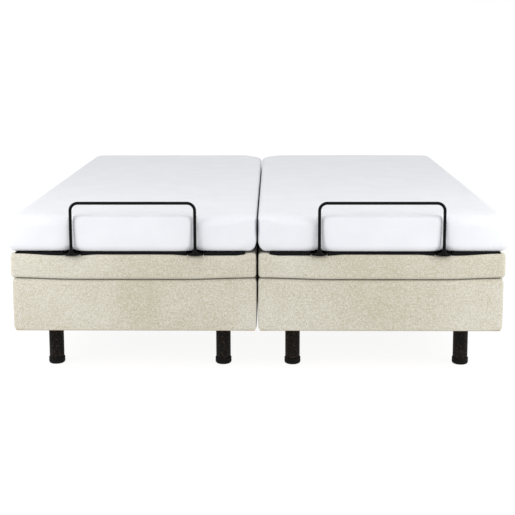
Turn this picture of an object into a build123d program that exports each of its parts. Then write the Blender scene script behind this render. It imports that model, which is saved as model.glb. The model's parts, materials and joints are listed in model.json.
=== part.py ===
"""Split-king adjustable bed base: two twin units side by side, each with its own mattress.

Millimetres, +Z up, +Y towards the head end. The model is built about the middle of the boxes, and
each node is written with its origin on the floor under the middle of the whole, bar feet included.
Each unit is an upholstered box on four legs that carries a steel mechanism frame, and a deck
of four upholstered sections: a fixed seat, a back that tilts, and a thigh and calf that lift
together. Two linear actuators turn two torque tubes, whose arms push the sections up through
rollers. The right unit is modelled, and the left unit is its mirror image.
"""

from build123d import *

import math
import os

# ---- driving dimensions ---------------------------------------------------------------------
UNIT_GAP = 7.0  # between the two boxes
BOX_WIDTH = 965.0
BOX_LENGTH = 2032.0
LEG_HEIGHT = 175.0
BOX_HEIGHT = 212.0
COVER = 6.0  # fabric and wadding on the boards
BOARD = 18.0
BOARD_DROP = 10.0  # the boards stop this far below the cover's top edge
PLANK_HALF = 60.0  # half the width of the planks that the legs screw to
DECK_GAP = 3.0  # between the box and the deck sections
PAD_HEIGHT = 95.0
PAD_EXTRA = 5.0  # the deck is a little wider than the box, on the outer side
MAT_HEIGHT = 9.0
MAT_INSET = 38.0
MAT_FOOT_INSET = 9.0
PAD_EDGE_R, PAD_CORNER_R = 8.0, 20.0
MATTRESS_HEIGHT = 146.0
MATTRESS_WIDTH = 986.0
MATTRESS_EDGE_R, MATTRESS_CORNER_R = 25.0, 45.0
SEAT_LENGTH = 270.0
BACK_LENGTH = 780.0
THIGH_LENGTH = 350.0
FOLD_GAP = 1.5  # from a fold line to each section's end
RAIL_START = 12.0  # from a fold line to each section frame's end
BACK_ANGLE = 60.0
THIGH_ANGLE = 35.0
CALF_DROOP = 0.1  # how much the calf slopes down for each degree the thigh rises

# legs
LEG_R, LEG_WALL = 30.0, 2.5
CORNER_R = 14.0  # upright corners of the cover
LEG_X, LEG_Y = 344.0, 870.0
GLIDE_R, GLIDE_HEIGHT, GLIDE_FLOOR = 33.0, 26.0, 12.0
GLIDE_LIP_R, GLIDE_TREAD_R = 3.0, 5.0
STUD_R, STUD_LENGTH = 5.0, 36.0
LEG_PLATE = 6.0
FLANGE_R, FLANGE_T, NUT_R, NUT_T = 14.0, 2.0, 9.5, 8.0

# steel sections
TUBE = 25.0
TUBE_WALL = 2.0
RAIL_W, RAIL_H = 30.0, 40.0
RAIL_X = 420.0
SIDE_RAIL_X = 430.0
CROSS = 30.0
HEAD_CROSS_Y = 780.0
SEAT_BEARERS = (50.0, 40.0)  # from the thigh fold and from the back fold
BACK_CROSS_INSET, BACK_RAIL_INSET = 42.5, 30.0  # from the head end
CALF_CROSS = (44.0, 316.0, 578.5)  # from the calf fold
CALF_RAIL_LENGTH = 591.0

# hinges on top of the deck
HINGE_R, HINGE_PIN_R = 6.0, 3.0
HINGE_X = (-330.0, 0.0, 330.0)
LEAF_W, LEAF_L, LEAF_T = 60.0, 46.0, 2.5
KNUCKLE_END, KNUCKLE_SPLIT, KNUCKLE_PLAY = 29.0, 11.0, 0.4
SCREW_X, SCREW_Y, SCREW_R = 20.0, 32.0, 2.6
HINGE_CLEAR = 2.0  # round a leaf
KNUCKLE_CLEAR = 9.0  # from the pin's axis
RUN = 0.05  # radial running clearance

# lift arms
TORQUE_R, TORQUE_WALL = 16.0, 3.0
TORQUE_Z = 290.0
ARM_X, ARM_T, ARM_W = 137.0, 8.0, 32.0
HEAD_ARM, FOOT_ARM = 320.0, 200.0
ROLLER_R, ROLLER_W, ROLLER_X = 19.6, 22.0, 154.0
ROLLER_Z = 335.0
ROLLER_CAP_R, ARM_BOSS_R, LEVER_BOSS_R = 9.0, 23.0, 26.0
BEARING_EAR_R, BEARING_EAR_T = 28.0, 6.0
BUSH_R, BUSH_FLANGE_R, BUSH_FLANGE_T = 20.0, 25.0, 3.0
TRACK_GAP = 0.4
TRACK_W = 16.0
TRACK_MARGIN = 6.0  # beyond the last place that a roller touches
BACK_TRACK_Y, THIGH_TRACK_Y = (412.0, 692.0), (-322.0, -132.0)
LEVER = 75.0
LEVER_X = 75.0
LEVER_T, LEVER_GAP, LEVER_W = 6.0, 20.0, 34.0
SLOT_IN, SLOT_OUT, SLOT_PLAY = 10.0, 1.0, 1.6  # the slot lets the pin leave its circle
HEAD_LEVER_ANGLE, FOOT_LEVER_ANGLE = -105.0, -60.0

# actuators
ACTUATOR_Z = 225.0
HEAD_ACTUATOR_Y, FOOT_ACTUATOR_Y = -55.0, 305.0
BARREL_END = 275.0  # front end of the outer tube, from the tail pivot
BARREL_R, GLAND_R, GLAND_LENGTH = 19.0, 22.0, 22.0
ROD_R, ROD_START = 12.5, 106.0
EYE_LENGTH, EYE_R, EYE_T = 36.0, 11.0, 16.0
PIN_R, PIN_HEAD_R = 5.0, 8.0
CLIP_R, CLIP_T, CLIP_X = 10.0, 1.5, 16.5
TAIL_R, TAIL_W, TAIL_LENGTH = 14.0, 34.0, 30.0
GEARBOX_W, GEARBOX_Y, GEARBOX_Z = 62.0, (28.0, 96.0), (-24.0, 40.0)
MOTOR_R, MOTOR_Y, MOTOR_Z = 29.0, 62.0, (38.0, 112.0)
TAIL_EAR_X, TAIL_EAR_T, TAIL_EAR_R = 22.0, 6.0, 18.0

# control box
CONTROL_W, CONTROL_H, CONTROL_Y = 200.0, 52.0, (715.0, 845.0)
SOCKETS_X = (-60.0, -30.0, 30.0, 60.0)
VENTS, VENT_PITCH, VENT_W = 6, 28.0, 8.0

# link that keeps the calf nearly level
LUG_BACK, LUG_DROP = 300.0, 125.0
LINK_PIN_R, LINK_W, LINK_T = 6.0, 28.0, 5.0
LINK_PLAY = 1.0  # extra radius in the link's hole at the calf
LUG_HALF, LUG_T = 16.0, 6.0
FOLD_EAR_R, FOLD_PIN_R = 6.0, 3.5  # at the calf fold
FOLD_EAR_X, FOLD_EAR_T, FOLD_TONGUE_T = 8.0, 5.0, 9.0

# retainer bar at the foot of each mattress
BAR_R = 6.0
BAR_HALF = 243.0
BAR_Y = -1030.0
BAR_TOP = 691.0
BAR_BEND = 30.0
BRACKET_W, BRACKET_T = 62.0, 4.0
BRACKET_NOSE, BRACKET_BACK, BRACKET_NOSE_R = 16.0, 68.0, 24.0  # from the bar's centre line
SOCKET_R, SOCKET_HEIGHT = 10.0, 16.0
BRACKET_SCREW_X, BRACKET_SCREW_Y, BRACKET_SCREW_R = 18.0, 50.0, 3.2
POCKET_HALF, POCKET_BACK = 34.0, 73.0  # the mat is cut away here, round a bracket

# headboard bolt holes, in the head end of each box
BOLT_HOLE_R = 4.5
BOLT_DX, BOLT_DZ, BOLT_Z = 760.0, 100.0, 280.0

# bolts between the two boxes
JOIN_Y, JOIN_Z, JOIN_R = 760.0, 300.0, 5.0
WASHER_R, WASHER_T, JOIN_NUT_R, JOIN_NUT_T = 12.0, 2.5, 9.0, 7.0

# ---- derived places -------------------------------------------------------------------------
CX = UNIT_GAP / 2 + BOX_WIDTH / 2  # middle of the right unit
BOX_X0, BOX_X1 = UNIT_GAP / 2, UNIT_GAP / 2 + BOX_WIDTH
END_Y = BOX_LENGTH / 2
BOX_TOP = LEG_HEIGHT + BOX_HEIGHT
PAD_Z0 = BOX_TOP + DECK_GAP
PAD_Z1 = PAD_Z0 + PAD_HEIGHT
MAT_Z1 = PAD_Z1 + MAT_HEIGHT
MATTRESS_Z1 = MAT_Z1 + MATTRESS_HEIGHT
BACK_Y = END_Y - BACK_LENGTH
THIGH_Y = BACK_Y - SEAT_LENGTH
CALF_Y = THIGH_Y - THIGH_LENGTH
HINGE_Z = MAT_Z1 - HINGE_R - 0.5
FRAME_Z0 = PAD_Z0 - TUBE
CALF_HINGE_Z = PAD_Z0 - 6.5
RAIL_Z1 = FRAME_Z0 - 2.0
RAIL_Z0 = RAIL_Z1 - RAIL_H
PAD_X0, PAD_X1 = 5.0, BOX_X1 + PAD_EXTRA
MATTRESS_X0 = 2.0
MATTRESS_X1 = MATTRESS_X0 + MATTRESS_WIDTH
PAD_FRONT = -END_Y - 4.0
ORIGIN_Y = -(END_Y + BAR_Y - BRACKET_NOSE) / 2  # moves the middle of the whole to Y = 0


def tube_offset(angle):
    """How far a torque tube stands from its hinge, so that the arm turns degree for degree."""
    depth = HINGE_Z - TORQUE_Z
    return depth * (1 - math.cos(math.radians(angle))) / math.sin(math.radians(angle))


HEAD_TUBE_Y = BACK_Y + tube_offset(BACK_ANGLE)
FOOT_TUBE_Y = THIGH_Y - tube_offset(THIGH_ANGLE)
ARM_RISE = ROLLER_Z - TORQUE_Z


# ---- small builders -------------------------------------------------------------------------
def block(x0, x1, y0, y1, z0, z1):
    size = (x1 - x0, y1 - y0, z1 - z0)
    return Pos((x0 + x1) / 2, (y0 + y1) / 2, (z0 + z1) / 2) * Box(*size)


def rod_x(x0, x1, y, z, r):
    """A cylinder along X."""
    return Pos((x0 + x1) / 2, y, z) * Rot(0, 90, 0) * Cylinder(r, x1 - x0)


def rod_z(x, y, z0, z1, r):
    return Pos(x, y, (z0 + z1) / 2) * Cylinder(r, z1 - z0)


def rod_y(x, y0, y1, z, r):
    return Pos(x, (y0 + y1) / 2, z) * Rot(90, 0, 0) * Cylinder(r, y1 - y0)


def tube_x(x0, x1, y, z0, z1, wall=TUBE_WALL):
    """A square tube along X, as tall as it is deep, with open ends."""
    half = (z1 - z0) / 2
    outer = block(x0, x1, y - half, y + half, z0, z1)
    return outer - block(x0 - 1, x1 + 1, y - half + wall, y + half - wall, z0 + wall, z1 - wall)


def tube_y(x0, x1, y0, y1, z0, z1, wall=TUBE_WALL):
    """A rectangular tube along Y with open ends."""
    outer = block(x0, x1, y0, y1, z0, z1)
    return outer - block(x0 + wall, x1 - wall, y0 - 1, y1 + 1, z0 + wall, z1 - wall)


def link_plate(length, width, thickness):
    """A flat link along +Y with round ends, centred on X = 0, pivots at Y = 0 and Y = length."""
    body = block(-thickness / 2, thickness / 2, 0, length, -width / 2, width / 2)
    for y in (0, length):
        body += rod_x(-thickness / 2, thickness / 2, y, 0, width / 2)
    return body


def turned(point, pivot, degrees):
    """A (y, z) point turned about a pivot, from +Y towards +Z."""
    c, s = math.cos(math.radians(degrees)), math.sin(math.radians(degrees))
    dy, dz = point[0] - pivot[0], point[1] - pivot[1]
    return pivot[0] + dy * c - dz * s, pivot[1] + dy * s + dz * c


def on_circle(pivot, radius, degrees):
    return turned((pivot[0] + radius, pivot[1]), pivot, degrees)


def angle_of(a, b):
    return math.degrees(math.atan2(b[1] - a[1], b[0] - a[0]))


def centre_of(p, q, r):
    """Centre of the circle through three (y, z) points."""
    ax, ay, bx, by = q[0] - p[0], q[1] - p[1], r[0] - p[0], r[1] - p[1]
    d = 2 * (ax * by - ay * bx)
    a2, b2 = ax * ax + ay * ay, bx * bx + by * by
    return p[0] + (by * a2 - ay * b2) / d, p[1] + (ax * b2 - bx * a2) / d


# ---- the box and its legs -------------------------------------------------------------------
def bolt_holes(y0, y1):
    """Cutters for the headboard bolts, through the head end."""
    return [
        rod_y(CX + sx * BOLT_DX / 2, y0, y1, BOLT_Z + sz * BOLT_DZ / 2, BOLT_HOLE_R)
        for sx in (-1, 1)
        for sz in (-1, 1)
    ]


def join_holes(x0, x1):
    return [rod_x(x0, x1, y, JOIN_Z, JOIN_R + 0.5) for y in (-JOIN_Y, JOIN_Y)]


def base_cover():
    outer = block(BOX_X0, BOX_X1, -END_Y, END_Y, LEG_HEIGHT, BOX_TOP)
    outer = fillet(outer.edges().filter_by(Axis.Z), CORNER_R)
    inner = block(
        BOX_X0 + COVER, BOX_X1 - COVER, -END_Y + COVER, END_Y - COVER, LEG_HEIGHT - 1, BOX_TOP + 1
    )
    inner = fillet(inner.edges().filter_by(Axis.Z), CORNER_R - COVER)
    ring = outer - inner
    for hole in bolt_holes(END_Y - 20, END_Y + 5) + join_holes(BOX_X0 - 2, BOX_X0 + 12):
        ring -= hole
    return [ring]


def base_boards():
    """Two side boards, two end boards, and two planks that the legs screw to."""
    x0, x1, y = BOX_X0 + COVER, BOX_X1 - COVER, END_Y - COVER
    z0, z1 = LEG_HEIGHT, BOX_TOP - BOARD_DROP
    sides = []
    for near, far, pick in ((x0, x0 + BOARD, slice(0, 2)), (x1 - BOARD, x1, slice(2, 4))):
        side = block(near, far, -y, y, z0, z1)
        outer_edges = side.edges().filter_by(Axis.Z).sort_by(Axis.X)[pick]
        sides.append(fillet(outer_edges, CORNER_R - COVER))
    for hole in join_holes(BOX_X0, BOX_X0 + 60):
        sides[0] -= hole
    ends = [
        block(x0 + BOARD, x1 - BOARD, -y, -y + BOARD, z0, z1),
        block(x0 + BOARD, x1 - BOARD, y - BOARD, y, z0, z1),
    ]
    for hole in bolt_holes(y - 40, y + 5):
        ends[1] -= hole
    legs = []
    for y_mid in (-LEG_Y, LEG_Y):
        near, far = y_mid - PLANK_HALF, y_mid + PLANK_HALF
        plank = block(x0 + BOARD, x1 - BOARD, near, far, z0, z0 + BOARD)
        for x in (CX - LEG_X, CX + LEG_X):
            plank -= rod_z(x, y_mid, z0 - 1, z0 + BOARD + 1, STUD_R + 0.3)
        legs.append(plank)
    return sides + ends + legs


def leg_places():
    return [(CX + sx * LEG_X, sy * LEG_Y) for sx in (-1, 1) for sy in (-1, 1)]


def legs():
    """Tube, top plate and stud of each leg, and the flanged nut that holds it to its plank."""
    made = []
    for x, y in leg_places():
        leg = rod_z(x, y, GLIDE_FLOOR, LEG_HEIGHT, LEG_R)
        leg -= rod_z(x, y, GLIDE_FLOOR - 1, LEG_HEIGHT - LEG_PLATE, LEG_R - LEG_WALL)
        leg += rod_z(x, y, LEG_HEIGHT - LEG_PLATE, LEG_HEIGHT + STUD_LENGTH, STUD_R)
        nut_z = LEG_HEIGHT + BOARD
        nut = rod_z(x, y, nut_z, nut_z + FLANGE_T, FLANGE_R)
        nut += Pos(x, y, nut_z + FLANGE_T) * extrude(RegularPolygon(NUT_R, 6), NUT_T)
        nut -= rod_z(x, y, nut_z - 1, nut_z + FLANGE_T + NUT_T + 1, STUD_R + RUN)
        made += [leg, nut]
    return made


def leg_glides():
    made = []
    for x, y in leg_places():
        cup = rod_z(x, y, 0, GLIDE_HEIGHT, GLIDE_R)
        cup = fillet(cup.edges().group_by(Axis.Z)[-1], GLIDE_LIP_R)
        cup = fillet(cup.edges().group_by(Axis.Z)[0], GLIDE_TREAD_R)
        made.append(cup - rod_z(x, y, GLIDE_FLOOR, GLIDE_HEIGHT + 1, LEG_R + RUN))
    return made


def joining_bolts():
    """Two bolts with nuts that hold the units together through their inner boards."""
    reach = BOX_X0 + COVER + BOARD
    outer = reach + WASHER_T
    made = []
    for y in (-JOIN_Y, JOIN_Y):
        bolt = rod_x(-outer, outer + JOIN_NUT_T + 6, y, JOIN_Z, JOIN_R)
        bolt += rod_x(-outer, -reach, y, JOIN_Z, WASHER_R)
        head = extrude(RegularPolygon(JOIN_NUT_R, 6), JOIN_NUT_T)
        bolt += Pos(-outer - JOIN_NUT_T, y, JOIN_Z) * Rot(0, 90, 0) * head
        nut = rod_x(reach, outer, y, JOIN_Z, WASHER_R)
        nut += Pos(outer, y, JOIN_Z) * Rot(0, 90, 0) * head
        nut -= rod_x(reach - 1, outer + JOIN_NUT_T + 1, y, JOIN_Z, JOIN_R + RUN)
        made += [bolt, nut]
    return made


# ---- mechanism frame ------------------------------------------------------------------------
def lever_pin(tube_y_mid, lever_angle):
    return on_circle((tube_y_mid, TORQUE_Z), LEVER, lever_angle)


def calf_link_ends():
    """Ground pivot and calf pivot of the link that keeps the calf nearly level, as (y, z)."""
    hinge = (CALF_Y, CALF_HINGE_Z)
    lug = (CALF_Y - LUG_BACK, CALF_HINGE_Z - LUG_DROP)
    path = []
    for share in (0.0, 0.5, 1.0):
        thigh = -THIGH_ANGLE * share
        new_hinge = turned(hinge, (THIGH_Y, HINGE_Z), thigh)
        tilt = -CALF_DROOP * thigh
        offset = turned(lug, hinge, tilt)
        path.append((offset[0] + new_hinge[0] - hinge[0], offset[1] + new_hinge[1] - hinge[1]))
    return centre_of(*path), path


def actuator_bracket(side, y):
    """Two ears and a pin that hold an actuator's tail, under a cross tube."""
    x, half = CX + side * LEVER_X, TAIL_EAR_T / 2
    ears = []
    for middle in (x - TAIL_EAR_X, x + TAIL_EAR_X):
        ends = (middle - half, middle + half)
        ear = block(*ends, y - TAIL_EAR_R, y + TAIL_EAR_R, ACTUATOR_Z, RAIL_Z1 - CROSS)
        ear += rod_x(*ends, y, ACTUATOR_Z, TAIL_EAR_R)
        ears.append(ear - rod_x(ends[0] - 1, ends[1] + 1, y, ACTUATOR_Z, PIN_R + RUN))
    reach = TAIL_EAR_X + half
    pin = rod_x(x - reach, x + reach + 4, y, ACTUATOR_Z, PIN_R)
    pin += rod_x(x - reach - 6, x - reach - RUN, y, ACTUATOR_Z, PIN_HEAD_R)
    pin += rod_x(x - reach - 6, x - reach, y, ACTUATOR_Z, PIN_R)
    return ears + [pin]


def mech_frame():
    made = []
    y_end = END_Y - COVER - BOARD
    for x in (CX - RAIL_X, CX + RAIL_X):
        made.append(tube_y(x - RAIL_W / 2, x + RAIL_W / 2, -y_end, y_end, RAIL_Z0, RAIL_Z1))
    x0, x1 = CX - RAIL_X + RAIL_W / 2, CX + RAIL_X - RAIL_W / 2
    for y in (-LEG_Y, HEAD_ACTUATOR_Y, FOOT_ACTUATOR_Y, HEAD_CROSS_Y):
        made.append(tube_x(x0, x1, y, RAIL_Z1 - CROSS, RAIL_Z1))
    half, wall = TUBE / 2, TUBE_WALL
    for y in (THIGH_Y + SEAT_BEARERS[0], BACK_Y - SEAT_BEARERS[1]):
        bearer = block(x0 - RAIL_W, x1 + RAIL_W, y - half, y + half, RAIL_Z1, PAD_Z0)
        bore = (y - half + wall, y + half - wall, RAIL_Z1 + wall, PAD_Z0 - wall)
        made.append(bearer - block(x0 - RAIL_W - 1, x1 + RAIL_W + 1, *bore))
    for y in (HEAD_TUBE_Y, FOOT_TUBE_Y):
        for x in (CX - RAIL_X, CX + RAIL_X):
            ends = (x - BEARING_EAR_T / 2, x + BEARING_EAR_T / 2)
            ear = block(*ends, y - BEARING_EAR_R, y + BEARING_EAR_R, TORQUE_Z, RAIL_Z0)
            ear += rod_x(*ends, y, TORQUE_Z, BEARING_EAR_R)
            made.append(ear - rod_x(ends[0] - 1, ends[1] + 1, y, TORQUE_Z, BUSH_R + RUN))
    made += actuator_bracket(1, HEAD_ACTUATOR_Y) + actuator_bracket(-1, FOOT_ACTUATOR_Y)
    ground, _ = calf_link_ends()
    for side in (-1, 1):
        face = CX + side * (RAIL_X + RAIL_W / 2)
        ends = sorted((face, face + side * 7.5))
        collar = sorted((face, face + side * 1.6))
        made.append(rod_x(*ends, *ground, LINK_PIN_R) + rod_x(*collar, *ground, 10.0))
    return made


def pivot_bearings():
    """Flanged bushes that the torque tubes turn in."""
    made = []
    for y in (HEAD_TUBE_Y, FOOT_TUBE_Y):
        for side in (-1, 1):
            x, half = CX + side * RAIL_X, BEARING_EAR_T / 2
            bush = rod_x(x - half, x + half, y, TORQUE_Z, BUSH_R)
            flange = sorted((x - side * half, x - side * (half + BUSH_FLANGE_T)))
            bush += rod_x(*flange, y, TORQUE_Z, BUSH_FLANGE_R)
            made.append(bush - rod_x(x - 10, x + 10, y, TORQUE_Z, TORQUE_R + RUN))
    return made


def control_boxes():
    """Power and control box, under a cross tube near the head end, with its mains inlet."""
    top, (y0, y1) = RAIL_Z1 - CROSS, CONTROL_Y
    case = block(CX - CONTROL_W / 2, CX + CONTROL_W / 2, y0, y1, top - CONTROL_H, top)
    case = fillet(case.edges().filter_by(Axis.Z), 10)
    case = fillet(case.edges().group_by(Axis.Z)[0], 4)
    case -= block(CX - 14, CX + 14, y1 - 12, y1 + 5, top - 38, top - 18)
    for x in SOCKETS_X:
        case -= block(CX + x - 8, CX + x + 8, y0 - 5, y0 + 9, top - 34, top - 22)
    first = CX - VENT_PITCH * (VENTS - 1) / 2
    for i in range(VENTS):
        x = first + i * VENT_PITCH
        vent = (y0 + 30, y1 - 30, top - CONTROL_H - 8, top - CONTROL_H + 2)
        case -= block(x - VENT_W / 2, x + VENT_W / 2, *vent)
    return [case]


# ---- lift arms, rollers and actuators -------------------------------------------------------
def lift_arm(tube_y_mid, arm_length, arm_angle, lever_angle, lever_side):
    """Torque tube with two arms, a roller pin on each, and a slotted double lever."""
    reach = RAIL_X + 8
    arm = rod_x(CX - reach, CX + reach, tube_y_mid, TORQUE_Z, TORQUE_R)
    for side in (-1, 1):
        x = CX + side * ARM_X
        place = Pos(x, tube_y_mid, TORQUE_Z) * Rot(arm_angle, 0, 0)
        arm += place * link_plate(arm_length, ARM_W, ARM_T)
        pin = sorted((x, CX + side * (ROLLER_X + ROLLER_W / 2 + 1.5)))
        cap = sorted((pin[0] if side < 0 else pin[1], CX + side * (ROLLER_X + ROLLER_W / 2 + 4)))
        tip = on_circle((tube_y_mid, TORQUE_Z), arm_length, arm_angle)
        arm += rod_x(*pin, *tip, PIN_R) + rod_x(*cap, *tip, ROLLER_CAP_R)
        arm += rod_x(x - 7, x + 7, tube_y_mid, TORQUE_Z, ARM_BOSS_R)
    slot_r = PIN_R + SLOT_PLAY
    slot = block(-9, 9, LEVER - SLOT_IN, LEVER + SLOT_OUT, -slot_r, slot_r)
    slot += rod_x(-9, 9, LEVER - SLOT_IN, 0, slot_r) + rod_x(-9, 9, LEVER + SLOT_OUT, 0, slot_r)
    for offset in (-1, 1):
        x = CX + lever_side * LEVER_X + offset * (LEVER_GAP + LEVER_T) / 2
        place = Pos(x, tube_y_mid, TORQUE_Z) * Rot(lever_angle, 0, 0)
        boss = rod_x(-LEVER_T / 2, LEVER_T / 2, 0, 0, LEVER_BOSS_R)
        plate = link_plate(LEVER, LEVER_W, LEVER_T) + boss
        arm += place * (plate - slot)
    bore = rod_x(CX - reach - 1, CX + reach + 1, tube_y_mid, TORQUE_Z, TORQUE_R - TORQUE_WALL)
    return [arm - bore]


def arm_tip(tube_y_mid, length, towards_head):
    angle = math.degrees(math.asin(ARM_RISE / length))
    angle = angle if towards_head else 180 - angle
    return on_circle((tube_y_mid, TORQUE_Z), length, angle), angle


def head_lift_arm():
    _, angle = arm_tip(HEAD_TUBE_Y, HEAD_ARM, True)
    return lift_arm(HEAD_TUBE_Y, HEAD_ARM, angle, HEAD_LEVER_ANGLE, 1)


def foot_lift_arm():
    _, angle = arm_tip(FOOT_TUBE_Y, FOOT_ARM, False)
    return lift_arm(FOOT_TUBE_Y, FOOT_ARM, angle, FOOT_LEVER_ANGLE, -1)


def rollers(tip):
    made = []
    for side in (-1, 1):
        x = CX + side * ROLLER_X
        wheel = rod_x(x - ROLLER_W / 2, x + ROLLER_W / 2, *tip, ROLLER_R)
        wheel = chamfer(wheel.edges().filter_by(GeomType.CIRCLE), 1.5)
        made.append(wheel - rod_x(x - 20, x + 20, *tip, PIN_R + RUN))
    return made


def head_rollers():
    return rollers(arm_tip(HEAD_TUBE_Y, HEAD_ARM, True)[0])


def foot_rollers():
    return rollers(arm_tip(FOOT_TUBE_Y, FOOT_ARM, False)[0])


def actuator_places():
    """Tail pivot, lever pin, reach and tilt of the head and foot actuators at rest."""
    places = {}
    for name, y, pin in (
        ("head", HEAD_ACTUATOR_Y, lever_pin(HEAD_TUBE_Y, HEAD_LEVER_ANGLE)),
        ("foot", FOOT_ACTUATOR_Y, lever_pin(FOOT_TUBE_Y, FOOT_LEVER_ANGLE)),
    ):
        tail = (y, ACTUATOR_Z)
        places[name] = (tail, pin, math.dist(tail, pin), angle_of(tail, pin))
    return places


def placed_actuator(name, solids):
    """Moves solids built along +Y, with the tail pivot at the origin, to where they belong."""
    tail, _, _, angle = actuator_places()[name]
    x = CX + (LEVER_X if name == "head" else -LEVER_X)
    if name == "head":
        place = Pos(x, *tail) * Rot(angle, 0, 0)
    else:
        place = Pos(x, *tail) * Rot(angle - 180, 0, 0) * Rot(0, 0, 180)
    return [place * solid for solid in solids]


def actuator_housing(name):
    half = TAIL_W / 2
    tail_lug = block(-half, half, 0, TAIL_LENGTH, -TAIL_R, TAIL_R) + rod_x(-half, half, 0, 0, TAIL_R)
    tail_lug -= rod_x(-half - 1, half + 1, 0, 0, PIN_R + RUN)
    gearbox = block(-GEARBOX_W / 2, GEARBOX_W / 2, *GEARBOX_Y, *GEARBOX_Z)
    gearbox = fillet(gearbox.edges().filter_by(Axis.Y), 10)
    motor = rod_z(0, MOTOR_Y, *MOTOR_Z, MOTOR_R)
    motor = fillet(motor.edges().group_by(Axis.Z)[-1], 6)
    body = tail_lug + gearbox + motor + rod_y(0, GEARBOX_Y[1] - 6, BARREL_END, 0, BARREL_R)
    body += rod_y(0, BARREL_END - GLAND_LENGTH, BARREL_END, 0, GLAND_R)
    bore = rod_y(0, ROD_START - 2, BARREL_END + 1, 0, ROD_R + RUN)
    return placed_actuator(name, [body - bore])


def actuator_rod(name):
    """The rod that slides out, with its eye and the pin that works in the lever's slots."""
    reach = actuator_places()[name][2]
    rod = rod_y(0, ROD_START, reach - EYE_LENGTH + 2, 0, ROD_R)
    half = EYE_T / 2
    eye = block(-half, half, reach - EYE_LENGTH, reach, -EYE_R, EYE_R)
    eye += rod_x(-half, half, reach, 0, EYE_R)
    pin = rod_x(-CLIP_X - 3.5, CLIP_X + 3.5, reach, 0, PIN_R)
    clips = rod_x(CLIP_X, CLIP_X + CLIP_T, reach, 0, CLIP_R)
    clips += rod_x(-CLIP_X - CLIP_T, -CLIP_X, reach, 0, CLIP_R)
    return placed_actuator(name, [rod + eye + pin + clips])


# ---- deck sections --------------------------------------------------------------------------
def hinge_cutters(y):
    """Clears the hinges out of the two sections that meet at a fold, and out of their mats."""
    cutters = []
    for x in HINGE_X:
        x0, x1 = CX + x - LEAF_W / 2 - HINGE_CLEAR, CX + x + LEAF_W / 2 + HINGE_CLEAR
        reach = LEAF_L + HINGE_CLEAR
        leaf = block(x0, x1, y - reach, y + reach, PAD_Z1, MAT_Z1 + 1)
        ends = (y - KNUCKLE_CLEAR, y + KNUCKLE_CLEAR)
        knuckle = block(x0, x1, *ends, HINGE_Z - KNUCKLE_CLEAR, MAT_Z1 + 1)
        cutters += [leaf, knuckle]
    return cutters


def section_pad(y0, y1, mat_y0, mat_y1, round_foot=False, round_head=False, cutters=()):
    """One upholstered deck section with the raised non-slip mat on top."""
    pad = block(PAD_X0, PAD_X1, y0, y1, PAD_Z0, PAD_Z1)
    corners = pad.edges().filter_by(Axis.Z).sort_by(Axis.Y)
    if round_foot:
        pad = fillet(corners[:2], PAD_CORNER_R)
    if round_head:
        pad = fillet(corners[-2:], PAD_CORNER_R)
    rim = [
        e
        for e in pad.edges()
        if e.geom_type != GeomType.LINE or abs(e.tangent_at(0.5).Z) < 0.5
    ]
    keep = []
    for e in rim:
        middle = e @ 0.5
        on_fold = (not round_foot and abs(middle.Y - y0) < 0.1) or (
            not round_head and abs(middle.Y - y1) < 0.1
        )
        if not on_fold:
            keep.append(e)
    pad = fillet(keep, PAD_EDGE_R)
    pad += block(PAD_X0 + MAT_INSET, PAD_X1 - MAT_INSET, mat_y0, mat_y1, PAD_Z1 - 1, MAT_Z1)
    for cutter in cutters:
        pad -= cutter
    return [pad]


def seat_pad():
    y0, y1 = THIGH_Y + FOLD_GAP, BACK_Y - FOLD_GAP
    cutters = hinge_cutters(THIGH_Y) + hinge_cutters(BACK_Y)
    return section_pad(y0, y1, THIGH_Y + KNUCKLE_CLEAR, BACK_Y - KNUCKLE_CLEAR, cutters=cutters)


def back_pad():
    y0 = BACK_Y + FOLD_GAP
    mat_y0, mat_y1 = BACK_Y + KNUCKLE_CLEAR, END_Y - MAT_INSET
    return section_pad(y0, END_Y, mat_y0, mat_y1, round_head=True, cutters=hinge_cutters(BACK_Y))


def thigh_pad():
    y0, y1 = CALF_Y + FOLD_GAP, THIGH_Y - FOLD_GAP
    mat_y0, mat_y1 = CALF_Y + 2 * FOLD_GAP, THIGH_Y - KNUCKLE_CLEAR
    return section_pad(y0, y1, mat_y0, mat_y1, cutters=hinge_cutters(THIGH_Y))


def calf_pad():
    span = (PAD_FRONT - 5, BAR_Y + POCKET_BACK, PAD_Z1, MAT_Z1 + 1)
    pockets = [
        block(x - POCKET_HALF, x + POCKET_HALF, *span) for x in (CX - BAR_HALF, CX + BAR_HALF)
    ]
    y1, mat_y0, mat_y1 = CALF_Y - FOLD_GAP, PAD_FRONT + MAT_FOOT_INSET, CALF_Y - 2 * FOLD_GAP
    return section_pad(PAD_FRONT, y1, mat_y0, mat_y1, round_foot=True, cutters=pockets)


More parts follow.
